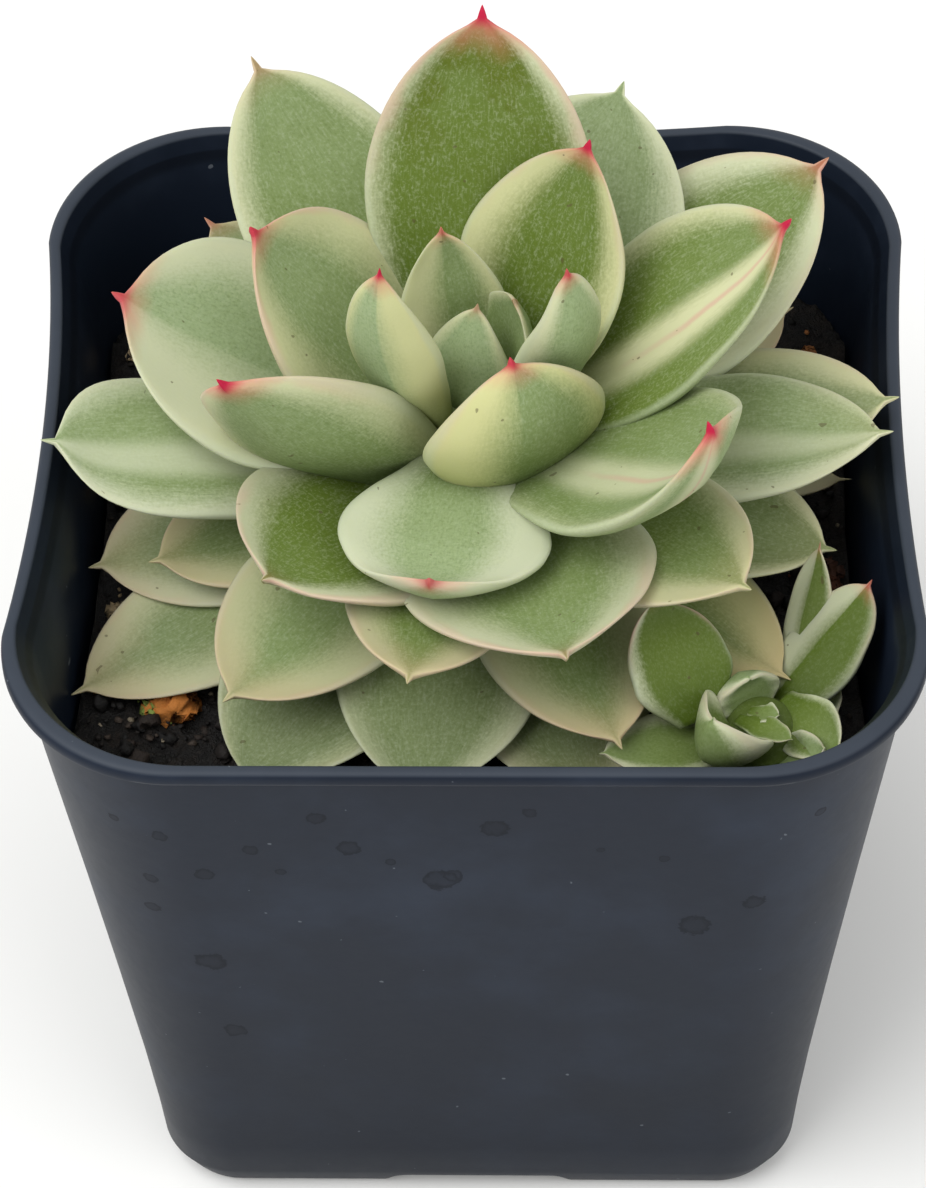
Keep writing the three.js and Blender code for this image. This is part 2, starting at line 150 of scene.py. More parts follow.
def pieceFrom(mesh, name, material, replaced=()):
    data = bpy.data.meshes.new(name)
    mesh.to_mesh(data)
    mesh.free()
    data.materials.append(material)
    for face in data.polygons:
        face.use_smooth = True
    piece = bpy.data.objects.new(name, data)
    bpy.context.scene.collection.objects.link(piece)
    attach(piece, "root")
    if replaced:
        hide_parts(*replaced)
    return piece


# Pot: square plan with round corners, sides drawn in a little, swept up a profile
pot = {
    "rimHalf": 32.0,
    "height": 62.0,
    "rimDrop": 1.3,
    "rimWidth": 1.0,
    "lipStep": 0.9,
    "baseHalf": 24.2,
    "wall": 1.0,
    "floorTop": 3.3,
    "rimCorner": 12.6,
    "baseCorner": 5.5,
    "sideBows": (0.9, 0.9, 1.2, 0),  # how far the right, back, left and front are drawn in at the rim
    "footHeight": 2.1,
    "notchHalf": 6.3,
    "notchFlare": 1.9,
    "drainRadius": 2.5,
    "drainOffset": 15.0,
    "around": 224,
    "plastic": paint(22, 29, 41),
    # dark colour of the water marks, also used for the painted shade under the rim
    "stainAndShade": paint(13, 17, 25),
    "haze": paint(52, 62, 79),
    # painted light on the rim's top face
    "litRimTop": paint(60, 66, 75),
    "roughness": 0.42,
}

# Dried water marks on the front wall: x and z in mm, radius in mm
waterMarks = [
    (2.3, 54.3, 1.1), (-1.7, 47.3, 1.3), (-0.9, 47.9, 0.8), (-8.0, 51.6, 0.95),
    (-5.2, 49.7, 0.4), (-12.9, 48.3, 0.4),
    (16.2, 41.1, 1.35), (20.3, 44.2, 0.95), (-22.2, 46.5, 0.6), (-22.4, 42.3, 0.7), (-18.8, 35.6, 1.3),
    (-17.6, 25.4, 0.9), (-18.2, 47.9, 0.8), (24.4, 54.1, 0.5), (9.4, 51.4, 0.3), (-24.2, 53.4, 0.5),
    (-21.0, 52.6, 0.7), (-14.8, 51.2, 0.6), (-10.2, 55.4, 0.7), (4.6, 56.2, 0.6), (13.8, 50.2, 0.4),
]

# Painted shadows under the rim's lower edge, as dark patches: middle and half length in mm
rimShadows = [(-20.2, 4.4), (22.2, 3.2)]


def wallHalf(z):
    topHalf = pot["rimHalf"] - pot["lipStep"]
    return pot["baseHalf"] + (topHalf - pot["baseHalf"]) * z / (pot["height"] - pot["rimDrop"])


def planCorner(z):  # the radius of the outer wall's corners
    return pot["baseCorner"] + (pot["rimCorner"] - pot["baseCorner"]) * z / pot["height"]


def planPoint(half, corner, z, share):  # share of the way round, from the middle of the right side
    quarter = int(share * 4 + 1e-9)
    s = share * 4 - quarter
    sideShare = 3 / 14
    straight = max(half - corner, 0)
    corner = min(corner, half)
    if s < sideShare:
        x, y = half, straight * s / sideShare
    elif s <= 1 - sideShare:
        angle = (s - sideShare) / (1 - 2 * sideShare) * math.pi / 2
        x, y = straight + corner * math.cos(angle), straight + corner * math.sin(angle)
    else:
        x, y = straight * (1 - s) / sideShare, half
    bowShare = z / pot["height"] * min(half / wallHalf(z), 1)
    if y < straight:
        x -= pot["sideBows"][quarter % 4] * bowShare * (1 - (y / straight) ** 2)
    if x < straight:
        y -= pot["sideBows"][(quarter + 1) % 4] * bowShare * (1 - (x / straight) ** 2)
    cos, sin = [(1, 0), (0, 1), (-1, 0), (0, -1)][quarter % 4]
    return x * cos - y * sin, x * sin + y * cos


def sweepPlan(mesh, profile, around, inset):  # rings of the plan, extruded one from the last
    spot = mesh.verts.layers.int.new("spot")
    verts = bmesh.ops.create_circle(mesh, segments=around, radius=1)["verts"]
    for index, vert in enumerate(verts):
        vert[spot] = index
    edges = mesh.edges[:]
    first = edges
    for step, (half, z) in enumerate(profile):
        if step:
            grown = bmesh.ops.extrude_edge_only(mesh, edges=edges)["geom"]
            verts = [item for item in grown if isinstance(item, bmesh.types.BMVert)]
            fresh = set(verts)
            borders = [item for item in grown if isinstance(item, bmesh.types.BMEdge)]
            edges = [edge for edge in borders if fresh.issuperset(edge.verts)]
        corner = max(planCorner(z) - inset(half, z), half * 0.2)
        for vert in verts:
            x, y = planPoint(half, corner, z, vert[spot] / around)
            vert.co = Vector((x, y, z)) * mm
    for ring in (first, edges):
        bmesh.ops.contextual_create(mesh, geom=ring)
    bmesh.ops.recalc_face_normals(mesh, faces=mesh.faces)


def cutterFrom(mesh, name):
    data = bpy.data.meshes.new(name)
    bmesh.ops.recalc_face_normals(mesh, faces=mesh.faces)
    mesh.to_mesh(data)
    mesh.free()
    cutter = bpy.data.objects.new(name, data)
    bpy.context.scene.collection.objects.link(cutter)
    return cutter


def footChannel(turn):
    mesh = bmesh.new()
    inner, outer = pot["notchHalf"], pot["notchHalf"] + pot["notchFlare"]
    outline = [(-outer - 0.4, -1), (-outer + 0.6, 0.3), (-inner, pot["footHeight"])]
    outline += [(-x, z) for x, z in reversed(outline)]
    reach = pot["baseHalf"] + 4
    verts = [mesh.verts.new(Vector((x, -reach, z)) * mm) for x, z in outline]
    face = mesh.faces.new(verts)
    bmesh.ops.bevel(
        mesh, geom=verts[1:5], affect="VERTICES", offset=0.7 * mm, segments=4, profile=0.5, material=-1
    )
    grown = bmesh.ops.extrude_face_region(mesh, geom=mesh.faces[:])["geom"]
    moved = [item for item in grown if isinstance(item, bmesh.types.BMVert)]
    bmesh.ops.translate(mesh, verts=moved, vec=Vector((0, 2 * reach, 0)) * mm)
    bmesh.ops.rotate(mesh, verts=mesh.verts, matrix=Matrix.Rotation(turn, 3, "Z"))
    return cutterFrom(mesh, "foot_channel_cutter")


def drainDrill(x, y):
    mesh = bmesh.new()
    radius = pot["drainRadius"] * mm
    place = Matrix.Translation(Vector((x, y, pot["floorTop"])) * mm)
    bmesh.ops.create_cone(
        mesh, cap_ends=True, segments=48, radius1=radius, radius2=radius, depth=4 * mm, matrix=place
    )
    return cutterFrom(mesh, "drain_cutter")


def potPlastic():
    shader = Shader("slatePlastic", {"IOR": 1.48, "Specular IOR Level": 0.12})
    place = shader.objectPlace()
    cloud = shader.noise(place, 90, 4.0, 0.6)
    fine = shader.noise(place, 900, 3.0, 0.6)
    edge = shader.noise(place, 700, 3.0, 0.7)
    marksAndShadows = None
    for x, z, radius in waterMarks:
        flat = shader.node("ShaderNodeVectorMath", {"operation": "MULTIPLY"}, {0: place, 1: (1, 0, 1)})
        spot = (x * mm, 0, z * mm)
        away = shader.node("ShaderNodeVectorMath", {"operation": "DISTANCE"}, {0: flat, 1: spot}, "Value")
        away = away + (edge - 0.5) * (1.6 * radius * mm)
        inside = shader.smooth(away, radius * mm, radius * 0.86 * mm)
        middle = shader.smooth(away, radius * 0.85 * mm, radius * 0.45 * mm)
        ring = inside * (1 - middle * 0.5)
        marksAndShadows = ring if marksAndShadows is None else shader.maths("MAXIMUM", marksAndShadows, ring)
    parts = [shader.node("ShaderNodeSeparateXYZ", sockets={0: place}, out=index) for index in range(3)]
    onFront = shader.smooth(parts[1], -23 * mm, -24 * mm)
    marksAndShadows = marksAndShadows * onFront
    dust = shader.smooth(shader.noise(place, 1300, 1.0), 0.79, 0.81)
    body = shader.blend(shader.smooth(cloud, 0.4, 0.8) * 0.3, pot["plastic"], pot["haze"])
    # Painted light: the rim's top face is made lighter, as lit from above.
    rimTopLight = shader.smooth(parts[2], (pot["height"] - 0.3) * mm, (pot["height"] - 0.08) * mm)  # the rim's top
    body = shader.blend(rimTopLight * (0.6 + cloud * 0.4), body, pot["litRimTop"])
    underRim = pot["height"] - pot["rimDrop"]
    # Painted shade: a dark band in the groove under the rim's lip
    below = shader.smooth(parts[2], (underRim - 1.1) * mm, (underRim - 0.3) * mm)
    grooveShade = below * shader.smooth(parts[2], (underRim + 0.15) * mm, underRim * mm)
    # Painted shadows: dark patches along the groove under the rim
    for middle, reach in rimShadows:
        away = abs(parts[0] - middle * mm) + (edge - 0.5) * (2 * mm)
        rimShadow = shader.smooth(away, reach * mm, reach * 0.8 * mm) * shader.smooth(grooveShade, 0.1, 0.4)
        marksAndShadows = shader.maths("MAXIMUM", marksAndShadows, rimShadow * onFront)
    # The water marks are real stains; the groove band and the patches under the rim are painted shade
    body = shader.blend(shader.maths("MAXIMUM", grooveShade * 0.7, marksAndShadows * 0.75), body, pot["stainAndShade"])
    # Darker towards the bottom
    body = shader.blend(shader.smooth(parts[2], 44 * mm, 4 * mm) * 0.35, body, pot["stainAndShade"])
    body = shader.blend(dust * 0.3, body, paint(140, 146, 154))
    shine = pot["roughness"] + (cloud - 0.5) * 0.12 + (fine - 0.5) * 0.08 + marksAndShadows * 0.12
    return shader.feed(baseColor=body, roughness=shine, normal=shader.bump(fine, 0.02 * mm, 0.35))


def makePot():
    underRim = pot["height"] - pot["rimDrop"]
    rimInner = pot["rimHalf"] - pot["rimWidth"]
    top, half, wall = pot["height"], pot["rimHalf"], pot["wall"]
    base = pot["baseHalf"]
    profile = [(4, 0), (base - 1.4, 0), (base - 0.9, 0.08), (base - 0.5, 0.25)]
    profile += [(base - 0.15, 0.6), (base + 0.05, 1.0), (wallHalf(3) + 0.45, 3)]
    profile += [(wallHalf(7) + 0.3, 7), (wallHalf(14) + 0.15, 14), (wallHalf(26) + 0.05, 26)]
    profile += [(wallHalf(z), z) for z in (38, 50, underRim - 1.5, underRim - 0.6, underRim - 0.45)]
    profile += [(half - 0.55, underRim - 0.12), (half - 0.25, underRim), (half - 0.05, underRim + 0.18)]
    profile += [(half, underRim + 0.4), (half, top - 0.5), (half - 0.08, top - 0.22)]
    profile += [(half - 0.25, top - 0.06), (half - 0.45, top), (rimInner + 0.25, top)]
    profile += [(rimInner + 0.1, top - 0.06), (rimInner, top - 0.2), (rimInner - 0.05, top - 0.5)]
    profile += [(wallHalf(z) - wall, z) for z in (underRim - 0.6, 50, 38, 26, 14, 5, pot["floorTop"])]
    profile += [(4, pot["floorTop"])]
    mesh = bmesh.new()
    sweepPlan(mesh, profile, pot["around"], lambda h, z: max(wallHalf(z) - h, 0))
    away = pot["drainOffset"]
    drains = [(0, 0), (away, 0), (-away, 0), (0, away), (0, -away)]
    cutters = [footChannel(0), footChannel(math.pi / 2)] + [drainDrill(x, y) for x, y in drains]
    piece = pieceFrom(mesh, "nursery_pot", potPlastic(), ["pot"])
    for cutter in cutters:
        cut = piece.modifiers.new("cut", "BOOLEAN")
        cut.operation = "DIFFERENCE"
        cut.solver = "EXACT"
        cut.object = cutter
    done = bpy.data.meshes.new_from_object(piece.evaluated_get(bpy.context.evaluated_depsgraph_get()))
    piece.modifiers.clear()
    piece.data = done
    done.set_sharp_from_angle(angle=math.radians(38))
    for cutter in cutters:
        bpy.data.objects.remove(cutter)
    return piece


makePot()
print("pot made")

# Soil: damp bark and peat mix, lumpy on top, with crumbs, chips and grit standing out
soil = {
    "level": 49.2,
    "relief": 0.45,
    "grain": 0.7,
    "gap": 0.3,
    "around": 200,
    "rings": 58,
    "crumbs": 2600,
    "crumbReach": 27.4,
    "black": paint(14, 12, 11),
    "brown": paint(34, 27, 22),
    "ash": paint(92, 84, 74),
}

# Larger pieces: place, size, turn and colour
barkChips = [
    {"x": -21.4, "y": -15.6, "size": (4.4, 3.0, 2.4), "turn": 20, "colour": paint(186, 116, 50)},
    {"x": -22.8, "y": -16.2, "size": (1.3, 2.5, 1.8), "turn": 12, "colour": paint(126, 144, 66)},
    {"x": -26.4, "y": -14.2, "size": (1.7, 1.4, 1.2), "turn": 70, "colour": paint(128, 80, 50)},
    {"x": -26.2, "y": 19.4, "size": (2.0, 1.5, 1.2), "turn": 70, "colour": paint(186, 164, 128)},
    {"x": 25.6, "y": -5.0, "size": (3.2, 2.6, 1.8), "turn": 40, "colour": paint(96, 58, 40)},
    {"x": 26.2, "y": -2.8, "size": (2.4, 2.0, 1.5), "turn": 120, "colour": paint(82, 52, 38)},
    {"x": 26.6, "y": -12.6, "size": (1.2, 1.6, 1.1), "turn": 10, "colour": paint(168, 170, 128)},
    {"x": -26.2, "y": 4.8, "size": (1.8, 1.3, 1.1), "turn": 10, "colour": paint(168, 140, 72)},
    {"x": 25.6, "y": 19.6, "size": (1.5, 1.2, 1.0), "turn": 120, "colour": paint(150, 96, 52)},
    {"x": -15.2, "y": -18.4, "size": (2.8, 1.8, 1.4), "turn": 160, "colour": paint(160, 124, 60)},
    {"x": -13.6, "y": -20.2, "size": (1.8, 1.0, 1.1), "turn": 60, "colour": paint(30, 24, 20)},
    {"x": -16.4, "y": -6.4, "size": (1.6, 1.0, 0.9), "turn": 60, "colour": paint(150, 130, 96)},
    {"x": -26.0, "y": -6.8, "size": (1.6, 1.1, 1.0), "turn": 30, "colour": paint(150, 132, 100)},
    {"x": 10.5, "y": 24.0, "size": (2.4, 1.5, 1.2), "turn": 200, "colour": paint(110, 82, 58)},
]


def clearOfWall(x, y):  # mm from the pot's inner wall at the soil
    inner = wallHalf(soil["level"]) - pot["wall"] - max(pot["sideBows"])
    corner = planCorner(soil["level"]) - pot["wall"]
    away = math.hypot(max(abs(x) - inner + corner, 0), max(abs(y) - inner + corner, 0))
    return corner - away


def soilHeight(x, y):  # over the soil's level, in mm
    lumps = math.sin(0.61 * x + 1.3) * math.cos(0.53 * y - 0.4)
    lumps += 0.6 * math.sin(1.27 * x - 0.9 * y + 2.1) + 0.4 * math.sin(1.9 * y + 0.7 * x)
    settled = 0.7 * math.exp(-((x + 2) ** 2 + (y + 24) ** 2) / 220)
    return soil["relief"] * lumps / 1.4 - settled


def soilMix():
    shader = Shader("soilMix", {"Specular IOR Level": 0.35})
    place = shader.objectPlace()
    clump = shader.noise(place, 520, 5.0, 0.7)
    grit = shader.noise(place, 2400, 3.0, 0.75)
    colour = shader.blend(shader.smooth(clump, 0.45, 0.7), soil["black"], soil["brown"])
    colour = shader.blend(shader.smooth(grit, 0.68, 0.75) * 0.5, colour, soil["ash"])
    shine = 0.62 + (clump - 0.5) * 0.5
    return shader.feed(baseColor=colour, roughness=shine, normal=shader.bump(grit, 0.5 * mm, 1.0))


def chipMix():
    shader = Shader("barkChips", {"Specular IOR Level": 0.35})
    place = shader.objectPlace()
    own = shader.attribute("chipColour", "Color")
    streak = shader.noise(place, 1500, 4.0, 0.75)
    colour = shader.blend(shader.smooth(streak, 0.55, 0.72) * 0.55, own, soil["black"])
    relief = shader.bump(streak, 0.2 * mm, 0.9)
    return shader.feed(baseColor=colour, roughness=0.6 + streak * 0.25, normal=relief)


def makeSoil():
    bottom = pot["floorTop"] + soil["gap"]
    level, rings = soil["level"], soil["rings"]
    side = [(wallHalf(z) - pot["wall"] - soil["gap"], z) for z in (bottom, 12, 30, level - 1.2)]
    edge = side[-1][0]
    profile = [(2, bottom)] + side + [(edge * (1 - step / rings), level) for step in range(rings)]
    mesh = bmesh.new()
    sweepPlan(mesh, profile, soil["around"], lambda h, z: max(wallHalf(z) - h, 0) * 0.6 + pot["wall"])
    for vert in mesh.verts:
        if vert.co.z > (level - 0.5) * mm:
            x, y = vert.co.x / mm, vert.co.y / mm
            fine = noise.noise(Vector((x, y, 3.7)) * 0.9) + 0.6 * noise.noise(Vector((x, y, 9.1)) * 2.1)
            vert.co.z = (level + soilHeight(x, y) + soil["grain"] * fine) * mm
    piece = pieceFrom(mesh, "potting_mix", soilMix(), ["soil"])
    return piece


def addLump(mesh, colourLayer, chip, draw, subdivisions):
    x, y = chip["x"], chip["y"]
    length, width, height = chip["size"]
    z = soil["level"] + soilHeight(x, y) + chip.get("lift", 0.1)
    place = Matrix.Translation(Vector((x, y, z)) * mm) @ Matrix.Rotation(math.radians(chip["turn"]), 4, "Z")
    place = place @ Matrix.Rotation(chip.get("tilt", 0.0), 4, "X")
    place = place @ Matrix.Diagonal((length, width, height, 1))
    made = bmesh.ops.create_icosphere(mesh, subdivisions=subdivisions, radius=0.5 * mm, matrix=place)
    for vert in made["verts"]:
        jog = Vector([draw.uniform(-1, 1) for axis in range(3)])
        vert.co += jog * (0.2 * min(length, width, height) * mm)
        vert[colourLayer] = chip["colour"]


def makeCrumbs():
    draw = random.Random(11)
    mesh = bmesh.new()
    layer = mesh.verts.layers.float_color.new("chipColour")
    for chip in barkChips:
        addLump(mesh, layer, chip, draw, 3)
        for bit in range(5):  # broken crumbs round the chip
            angle, away = draw.uniform(0, 2 * math.pi), draw.uniform(0.9, 1.5) * chip["size"][0]
            size = draw.uniform(0.3, 0.8)
            x, y = chip["x"] + away * math.cos(angle), chip["y"] + away * math.sin(angle)
            if clearOfWall(x, y) > size:
                crumb = {"x": x, "y": y, "size": (size, size * 0.8, size * 0.6), "turn": 60 * bit}
                addLump(mesh, layer, dict(crumb, colour=chip["colour"]), draw, 1)
    shades = [paint(16, 14, 13), paint(26, 21, 18), paint(36, 28, 23), paint(58, 49, 42)]
    shades.append(paint(128, 118, 100))
    for count in range(soil["crumbs"]):
        x = draw.uniform(-1, 1) * soil["crumbReach"]
        y = draw.uniform(-1, 1) * soil["crumbReach"]
        size = 0.3 + 1.1 * draw.random() ** 2.6
        if clearOfWall(x, y) < size:
            continue
        shade = shades[min(int(5 * draw.random() ** 2.2), 4)] if size < 0.7 else shades[draw.randrange(3)]
        crumb = {"x": x, "y": y, "size": (size * 1.3, size, size * 0.75), "turn": draw.uniform(0, 360)}
        crumb.update(tilt=draw.uniform(-0.6, 0.6), lift=draw.uniform(0.0, 0.35), colour=shade)
        addLump(mesh, layer, crumb, draw, 2 if size > 0.9 else 1)
    return pieceFrom(mesh, "soil_crumbs", chipMix())


makeSoil()
makeCrumbs()
print("soil made")

# Leaves: one rule for all, then what each leaf of this plant does its own way
stem = {"x": 0.3, "y": 1.5, "radius": 3.6, "footZ": 45.8, "leanDegrees": 10, "leanHeight": 58}
firstLeafTurn = 40
goldenAngle = 137.5
leafCount = 44

byAge = {
    "rise": [(0, 84), (4, 62), (8, 40), (12, 30), (16, 20), (22, 10), (30, 0), (40, -8)],
    "length": [(0, 8), (1, 10), (4, 16), (8, 23), (12, 26), (20, 29), (40, 29)],
    "slimness": [(0, 0.6), (4, 0.52), (8, 0.52), (20, 0.5), (40, 0.46)],
    "curl": [(0, 25), (5, 25), (10, 20), (20, 14), (40, 8)],
    "baseHeight": [(0, 63.5), (8, 61.5), (20, 58.5), (40, 54.5)],
    "reach": [(0, 0.6), (8, 2.2), (20, 3.4), (40, 4.0)],
    "thickness": [(0, 1.6), (6, 2.6), (20, 3.2), (40, 2.6)],
    "fullness": [(0, 2.6), (4, 2.7), (7, 4.2), (12, 4.8), (40, 4.8)],
}

# Turn, rise and roll in degrees are added, length and width are factors, the rest takes the rule's place
grown = {
    0: {"turn": -16, "rise": -12, "length": 1.4, "width": 1.5, "reach": 1.8, "baseHeight": 64.2},
    1: {"turn": -18, "rise": 11, "length": 1.2, "width": 1.25, "fullness": 2},
    2: {"turn": -16, "rise": -15, "length": 1.3, "width": 1.08, "roll": 8, "reach": 0.6},
    3: {"turn": 2, "rise": 3, "length": 1.38, "width": 0.9, "roll": 44, "reach": 3.8,
        "baseHeight": 63.6, "fullness": 2},
    4: {"turn": -2, "rise": 8, "length": 1.34, "width": 0.72, "roll": -42, "reach": 3.0,
        "baseHeight": 64.2},
    5: {"turn": -20.5, "rise": -9, "length": 1.27, "width": 1.3},
    6: {"turn": 4, "rise": 20, "length": 0.94, "width": 1.58, "roll": 8, "curl": 45,
        "curlPower": 2, "reach": 4.6, "baseHeight": 59.8},
    7: {"turn": 4, "rise": -5, "length": 1.04, "width": 1.46},
    8: {"turn": -9, "rise": -6, "length": 1.22, "width": 1.06},
    9: {"turn": 20, "rise": -22, "length": 0.76, "width": 1.72, "curl": 70, "curlPower": 4,
        "reach": 4.5, "baseHeight": 63.6},
    10: {"turn": -17.5, "rise": 13, "length": 1.22, "width": 1.14},
    11: {"turn": -6, "rise": 2, "length": 1.15, "width": 1.1, "curl": 74, "curlPower": 4},
    12: {"turn": 15, "rise": 23, "length": 1.12, "width": 0.96, "roll": -62, "cup": 0.3, "curl": 8,
        "baseHeight": 54.8},
    13: {"turn": 13, "rise": -11, "length": 0.98, "width": 1.45},
    14: {"turn": 10, "rise": -4, "length": 1, "width": 1.42, "baseHeight": 58.8},
    15: {"turn": -14, "rise": -4, "length": 1.1, "width": 1.05},
    16: {"turn": -9, "rise": -10, "length": 1.03, "width": 0.84},
    17: {"turn": 10, "rise": 6, "length": 0.84, "width": 1.5, "baseHeight": 58},
    18: {"turn": -6, "rise": -14, "length": 0.8},
    19: {"turn": 8, "rise": 4, "length": 0.92, "width": 1.1},
    20: {"rise": 11, "length": 0.9, "width": 1.4, "fullness": 7},
    21: {"turn": 3, "rise": 3, "length": 1.04, "width": 1.15},
    22: {"turn": 6, "rise": 9, "length": 0.85, "width": 1.1},
    23: {"rise": -14, "length": 0.8},
    24: {"turn": -2, "rise": -5, "length": 0.85},
    25: {"turn": -13, "rise": 8, "width": 0.84, "fullness": 12},
    26: {"rise": -12, "length": 0.8},
    27: {"turn": 4.5, "rise": -1, "length": 0.86, "width": 1.1},
    28: {"turn": -13, "rise": 1, "length": 0.85},
    29: {"turn": -13, "rise": 12, "length": 0.97},
    30: {"turn": -3, "rise": 3, "length": 0.85, "width": 1.2},
    31: {"rise": -8, "length": 0.8},
    32: {"turn": -0.8, "rise": 2, "length": 0.9, "width": 0.96},
    33: {"turn": 19, "rise": 2, "length": 0.74, "width": 1.15},
    34: {"turn": -12, "rise": -5, "length": 0.85, "width": 0.8},
    35: {"turn": -5, "rise": 2, "length": 0.85, "width": 1.4},
    36: {"rise": -8, "length": 0.8},
    37: {"turn": 11, "rise": -7, "length": 0.84, "width": 0.5},
    38: {"turn": -3, "length": 1.04, "width": 0.9},
    39: {"rise": -6, "length": 0.7},
    40: {"turn": -12, "rise": 4, "length": 0.85, "width": 1.4},
    41: {"turn": 33, "rise": 4, "length": 0.87, "width": 1.2},
    42: {"rise": -2, "length": 0.6},
    43: {"turn": -10, "rise": 4, "length": 0.92, "width": 1.3},
}

leafForm = {
    "neck": 0.42,
    "widest": 0.66,
    "bluntness": 0.7,
    "point": 0.045,
    "pointWidth": 0.09,
    "cup": 0.18,
    "upperShare": 0.38,
    "keel": 0.25,
    "curlPower": 1.4,
    "wave": 0.16,  # mm, how far the surface strays from the smooth form
    "rings": 36,
    "segments": 28,
}

# Markings, as shares from 0 to 1, and pale below 0 for a darker leaf
# Left and right are the pale margins, seen from the base with the upper face up
plainLook = {"left": 0.12, "right": 0.12, "stripe": 0, "yellow": 0.4}
plainLook.update({"blush": 0.3, "peach": 0, "grey": 0, "pink": 0.1})
plainLook.update({"pale": 0.4, "olive": 0, "tan": 0, "soft": 0.3})
looks = {
    0: {"left": 0.12, "right": 0.1, "blush": 0.25, "pale": 0.4},
    1: {"left": 0.1, "right": 0.12, "blush": 0.3, "pale": 1},
    2: {"left": 0.6, "right": 0.2, "yellow": 0.6, "blush": 0.6, "pale": 0.4, "soft": 0.5},
    3: {"left": 0.12, "right": 0.2, "yellow": 0.3, "blush": 0.8, "pale": 0.7},
    4: {"left": 0.7, "right": 0.1, "yellow": 0.8, "blush": 1, "pale": 0.9, "soft": 0.5},
    5: {"left": 0.32, "right": 0.2, "yellow": 0.7, "blush": 1, "pink": 0.4, "pale": -0.2, "soft": 0.3},
    6: {"left": 0.1, "right": 0.55, "yellow": 0.9, "blush": 0.9, "pink": 0.3, "pale": 0.2, "soft": 0.5},
    7: {"left": 0.3, "right": 0.3, "yellow": 0.6, "blush": 0.9, "pink": 0.7, "pale": 0.5, "soft": 0.5},
    8: {"left": 0.12, "right": 0.02, "stripe": 1, "yellow": 0.5, "blush": 1, "pale": 0},
    9: {"left": 0.45, "right": 0.35, "yellow": 0, "blush": 0.7, "pale": 1, "soft": 0.2},
    10: {"left": 0.08, "right": 0.12, "yellow": 0.2, "blush": 1, "pink": 0.8, "pale": -0.2,
        "olive": 1, "soft": 0.15},
    11: {"left": 0.06, "right": 0.06, "stripe": 0.8, "yellow": 0.3, "blush": 1, "pale": 0.4},
    12: {"left": 0.16, "right": 0.2, "yellow": 0.4, "blush": 1, "pink": 0.4, "pale": 0.3, "soft": 0.4},
    13: {"left": 0.12, "right": 0.14, "yellow": 0.15, "blush": 0, "pink": 0.1, "pale": 0.6, "grey": 0.2},
    14: {"left": 0.12, "right": 0.24, "yellow": 0, "blush": 0.15, "pink": 0.6, "pale": 0.3,
        "tan": 0.4, "soft": 0.5},
    15: {"left": 0.14, "right": 0.1, "yellow": 0.3, "blush": 0.2, "pale": 0.3},
    16: {"left": 0.06, "right": 0.2, "stripe": 0.5, "yellow": 0.1, "blush": 0, "peach": 0.2,
        "grey": 0.2, "pale": 0.6},
    17: {"left": 0.12, "right": 0.14, "yellow": 0, "blush": 0.1, "pink": 0.6, "pale": -0.2, "tan": 0.4},
    19: {"left": 0.1, "right": 0.3, "yellow": 0.4, "blush": 0, "peach": 0.4, "pink": 0.4,
        "pale": 0.1, "tan": 0.4, "soft": 0.5},
    20: {"left": 0.7, "right": 0.3, "yellow": 0.2, "blush": 0.8, "pale": 1, "soft": 0.4},
    21: {"left": 0.2, "right": 0.24, "yellow": 0.2, "blush": 0.4, "pink": 0.4, "pale": -0.1},
    22: {"left": 0.16, "right": 0.16, "yellow": 0.2, "blush": 0, "peach": 0.7, "pink": 0.4,
        "pale": 0, "tan": 0.6, "soft": 0.8},
    24: {"left": 0.1, "right": 0.1, "blush": 0, "peach": 0.2, "grey": 0.4, "pale": 0.3},
    25: {"left": 0.14, "right": 0.08, "stripe": -0.6, "yellow": 0, "blush": 0, "grey": 0.2,
        "pale": 0.6, "soft": 0.5},
    27: {"left": 0.2, "right": 0.2, "yellow": 0.4, "blush": 0, "peach": 0.8, "pink": 0.4,
        "pale": 0.2, "tan": 0.7, "soft": 0.8},
    28: {"left": 0.06, "right": 0.06, "blush": 0.4, "grey": 0.4, "pale": 0.5},
    29: {"left": 0.2, "right": 0.16, "blush": 0, "peach": 0.2, "grey": 0.4, "pink": 0.3,
        "pale": 0.6, "tan": 0.2},
    30: {"left": 0.26, "right": 0.26, "yellow": 0.4, "blush": 0, "peach": 0.6, "pink": 0.4,
        "pale": 0.4, "tan": 0.6, "soft": 0.8},
    32: {"left": 0.5, "right": 0.5, "yellow": 1, "blush": 0, "peach": 0.9, "pale": 0,
        "tan": 0.3, "soft": 0.6},
    33: {"left": 0.24, "right": 0.14, "blush": 0, "peach": 0.6, "grey": 0.2, "pink": 0.4,
        "pale": 0.2, "tan": 0.7, "soft": 0.7},
    34: {"left": 0.8, "right": 0.8, "yellow": 0, "blush": 0, "peach": 0.8, "pink": 0.6, "tan": 0.8},
    35: {"left": 0.08, "right": 0.06, "yellow": 0.2, "blush": 0, "grey": 0.6, "pale": 0.4,
        "tan": 0.1, "soft": 0.7},
    37: {"left": 0.8, "right": 0.8, "yellow": 0, "blush": 0, "peach": 0.6, "grey": 0.3, "tan": 0.5},
    38: {"left": 0.26, "right": 0.2, "yellow": 0.2, "blush": 0, "peach": 0.6, "grey": 0.4,
        "pink": 0.3, "pale": 0.5, "tan": 0.5, "soft": 0.7},
    40: {"left": 0.08, "right": 0.08, "yellow": 0.3, "blush": 0, "peach": 0.3, "grey": 0.7,
        "tan": 0.2, "soft": 0.7},
    41: {"left": 0.2, "right": 0.14, "yellow": 0, "blush": 0, "peach": 0.6, "grey": 0.3,
        "pink": 0.3, "pale": 0.6, "tan": 0.4, "soft": 0.8},
    43: {"left": 0.06, "right": 0.06, "blush": 0, "grey": 0.8, "pale": 0.6, "soft": 0.6},
}
